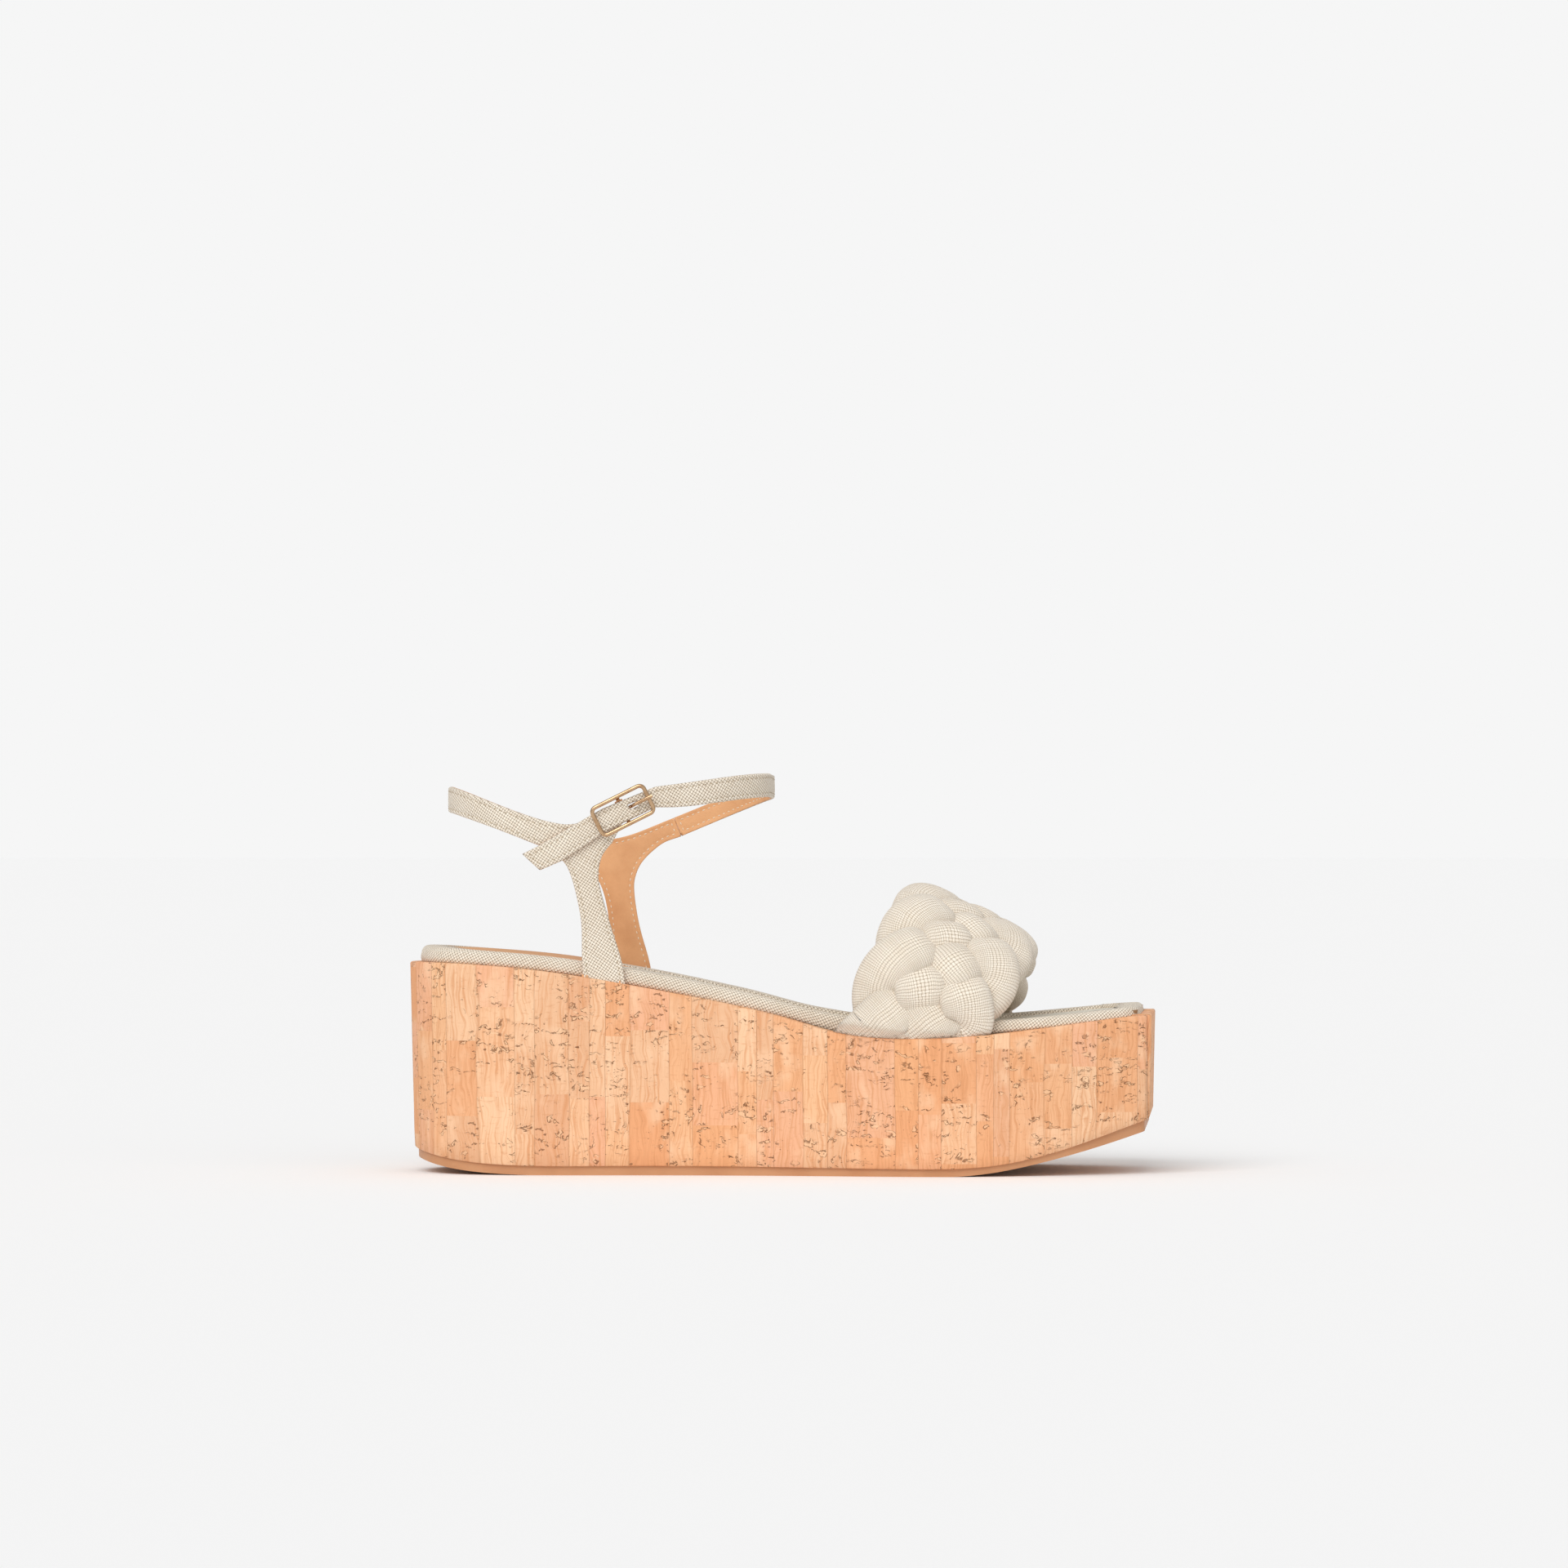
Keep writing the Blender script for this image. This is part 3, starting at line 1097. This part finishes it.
def wall_end(tree, p, n, way):
    """Height where a wall ends, upwards or downwards from its middle."""
    inside_z, outside_z = WALL_MIDDLE, WALL_MIDDLE + way * WALL_SEARCH
    for _ in range(12):
        middle = (inside_z + outside_z) / 2
        if wall_hit(tree, p, n, middle) is None:
            outside_z = middle
        else:
            inside_z = middle
    return inside_z


def wall_section(tree, p, n, low, top):
    """Section of a cork wall: up the outside, over a rounded edge, in along the top, and back inside."""
    inward = np.array([-n[0], -n[1], 0.0])
    up = np.array([0.0, 0.0, 1.0])
    outside = []
    for share in np.linspace(0, 1, 12):
        z = low + 0.35 + (top - CORK_BEND - low - 0.35) * share
        hit = wall_hit(tree, p, n, z)
        outside.append(np.array([p[0], p[1], z]) if hit is None else hit)
    section = [outside[0] + inward * 0.35 - up * 0.33] + outside
    corner = outside[-1] + inward * CORK_BEND
    for angle in (30, 60, 90):
        turn = math.radians(angle)
        section.append(corner - inward * (CORK_BEND * math.cos(turn)) + up * (CORK_BEND * math.sin(turn)))
    section.append(section[-1] + inward * 2.0)
    section.append(section[-1] + inward * (CORK_INSET - 2.0))
    section.append(section[-1] - up * CORK_THICK)
    section.append(section[-1] - inward * (CORK_INSET - CORK_THICK))
    section.append(outside[0] + inward * CORK_THICK - up * 0.33)
    return section


def make_footbed():
    """Linen footbed cover: a padded rim rolled over the footbed's edge, and the cover under the sock."""
    tree, owner = node_tree("footbed_cover")

    def height(x):
        """A height part way up the rim."""
        return 0.55 * on_run(WEDGE_TOP, x) + 0.45 * on_run(RIM_TOP, x)

    points, _ = round_outline(tree, owner, height)
    at, place, normal = even_stations(points, RIM_STATION, True)
    smooth = np.ones(5) / 5
    wrapped = np.vstack([place[-2:], place, place[:2]])
    place = np.stack([np.convolve(wrapped[:, k], smooth, "valid") for k in (0, 1)], axis=1)
    tops = [on_run(RIM_TOP, p[0]) + 0.2 + 0.5 * float(step(p[0], -70, -30)) for p in place]
    lows = [on_run(WEDGE_TOP, p[0]) for p in place]
    rings, around = [], []
    for p, n, top, low in zip(place, normal, tops, lows):
        rings.append(rim_section(p, n, low, top))
        around.append(ring_lengths(rings[-1]))
    along = np.concatenate([at, [at[-1] + RIM_STATION]])
    rim = sweep("footbed_rim", np.array(rings), along, np.array(around), STRAP_LINEN, weld=True)
    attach(rim, "sole")
    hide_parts("footbed_cover")
    make_sock(place, normal)


def make_sock(place, normal):
    """Leather sock glued inside the rim, a little dished; its stations run round and pair across the foot."""
    points, flats = [], []
    inner_edge = place - normal * SOCK_INSET
    half = len(place) // 2
    across = 14
    rows = [(inner_edge[i], inner_edge[-i]) for i in range(1, half)]
    faces = []
    for layer in (0.0, -SOCK_THICK):
        for a, b in rows:
            for k in range(across + 1):
                share = k / across
                x, y = a + (b - a) * share
                dish = SOCK_DISH * 4 * share * (1 - share)
                lip = SOCK_LIP if layer == 0.0 and k in (0, across) else 0.0
                base = on_run(RIM_TOP, x) + SOCK_PROUD - SOCK_SINK * float(step(x, *SOCK_SLOPE))
                points.append((x, y, base - dish - lip + layer))
                flats.append((x, y))
    count, width = len(rows), across + 1
    size = count * width
    for i in range(count - 1):
        for k in range(across):
            a = i * width + k
            faces.append((a, a + 1, a + 1 + width, a + width))
            faces.append((size + a, size + a + width, size + a + 1 + width, size + a + 1))
    border = list(range(width)) + [i * width + across for i in range(1, count)]
    border += [(count - 1) * width + k for k in range(across - 1, -1, -1)]
    border += [i * width for i in range(count - 2, 0, -1)]
    for a, b in zip(border, border[1:] + border[:1]):
        faces.append((b, a, size + a, size + b))
    sock = make_piece("sock_leather", points, faces, TAN, flats)
    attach(sock, "sole")
    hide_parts("sock_liner")


def rim_section(p, n, low, top):
    """Section of the footbed's rim: out and up from the cork, rolled over, and in under the sock."""
    tall = top - low
    roll = min(2.6, tall * 0.6)
    inward = np.array([-n[0], -n[1], 0.0])
    up = np.array([0.0, 0.0, 1.0])
    base = np.array([p[0], p[1], low])
    section = [base + inward * 1.2 - up * 0.15, base + inward * 0.5 - up * 0.1]
    section.append(base + inward * 0.05 + up * 0.25)
    straight = max(tall - roll, 0.3)
    for share in (0.35, 0.7, 1.0):
        bulge = 0.28 * math.sin(math.pi * share)
        section.append(base - inward * bulge + up * (0.25 + (straight - 0.25) * share))
    corner = base + inward * roll + up * straight
    for angle in (18, 36, 54, 72, 90):
        turn = math.radians(angle)
        section.append(corner - inward * (roll * math.cos(turn)) + up * ((tall - straight) * math.sin(turn)))
    crown = section[-1]
    section += [crown + inward * 0.7 - up * 0.02, crown + inward * 1.5 - up * 0.14]
    section.append(crown + inward * 3.0 - up * 0.3)
    section += [crown + inward * 6.0 - up * 0.3, crown + inward * 6.0 - up * max(tall * 0.6, 0.8)]
    section += [base + inward * 4.0 + up * 0.2]
    return np.array(section)


# ---------------------------------------------------------------- studio

def make_studio():
    """Pale floor, background, lights and camera."""
    n = Nodes("studio_floor")
    dust = n.noise(n.object_mm(), 0.002, 2.0)
    tone = n.mix(dust, FLOOR_TONE, [c * 1.004 for c in FLOOR_TONE])
    mesh = bpy.data.meshes.new("studio_floor")
    corners = [(x * FLOOR_REACH, y * FLOOR_REACH, 0) for x, y in ((-1, -1), (1, -1), (1, 1), (-1, 1))]
    mesh.from_pydata(corners, [], [(0, 1, 2, 3)])
    mesh.materials.append(n.finish(tone, 1.0, Specular_IOR_Level=0.0))
    floor = add_object("studio_floor", mesh)
    make_world()
    make_lights()
    make_camera()


def make_world():
    """A pale background for the camera, and even fill light for everything else."""
    world = bpy.data.worlds.new("studio")
    world.use_nodes = True
    tree = world.node_tree
    back = tree.nodes["Background"]
    back.inputs["Color"].default_value = (*srgb(246, 246, 246), 1)
    fill = tree.nodes.new("ShaderNodeBackground")
    fill.inputs["Color"].default_value = (1, 1, 1, 1)
    fill.inputs["Strength"].default_value = FILL_LIGHT
    seen = tree.nodes.new("ShaderNodeLightPath")
    mix = tree.nodes.new("ShaderNodeMixShader")
    tree.links.new(seen.outputs["Is Camera Ray"], mix.inputs[0])
    tree.links.new(fill.outputs[0], mix.inputs[1])
    tree.links.new(back.outputs[0], mix.inputs[2])
    tree.links.new(mix.outputs[0], tree.nodes["World Output"].inputs["Surface"])
    bpy.context.scene.world = world


def make_lights():
    """Soft suns."""
    for name, turn, strength, softness in SUNS:
        light = bpy.data.lights.new(name, "SUN")
        light.energy = strength
        light.angle = math.radians(softness)
        lamp = add_object(name, light)
        lamp.rotation_euler = Vector(turn).to_track_quat("Z", "Y").to_euler()


def make_camera():
    """A level camera square to the outer side, shifted to the photo's framing."""
    camera = bpy.data.cameras.new("camera")
    camera.sensor_width = SENSOR
    camera.lens = SENSOR * CAMERA_DISTANCE / PICTURE_WIDTH
    camera.shift_x = PICTURE_CENTRE[0] / PICTURE_WIDTH
    camera.shift_y = (PICTURE_CENTRE[1] - CAMERA_HEIGHT) / PICTURE_WIDTH
    camera.clip_end = 100.0
    eye = add_object("camera", camera)
    eye.location = (0, (OUTER_PLANE - CAMERA_DISTANCE) * MM, CAMERA_HEIGHT * MM)
    eye.rotation_euler = (math.radians(90), 0, 0)
    bpy.context.scene.camera = eye
    bpy.context.scene.view_settings.view_transform = "Standard"


dress_frame()
make_cork()
make_footbed()
make_braid()
make_collar()
make_studio()
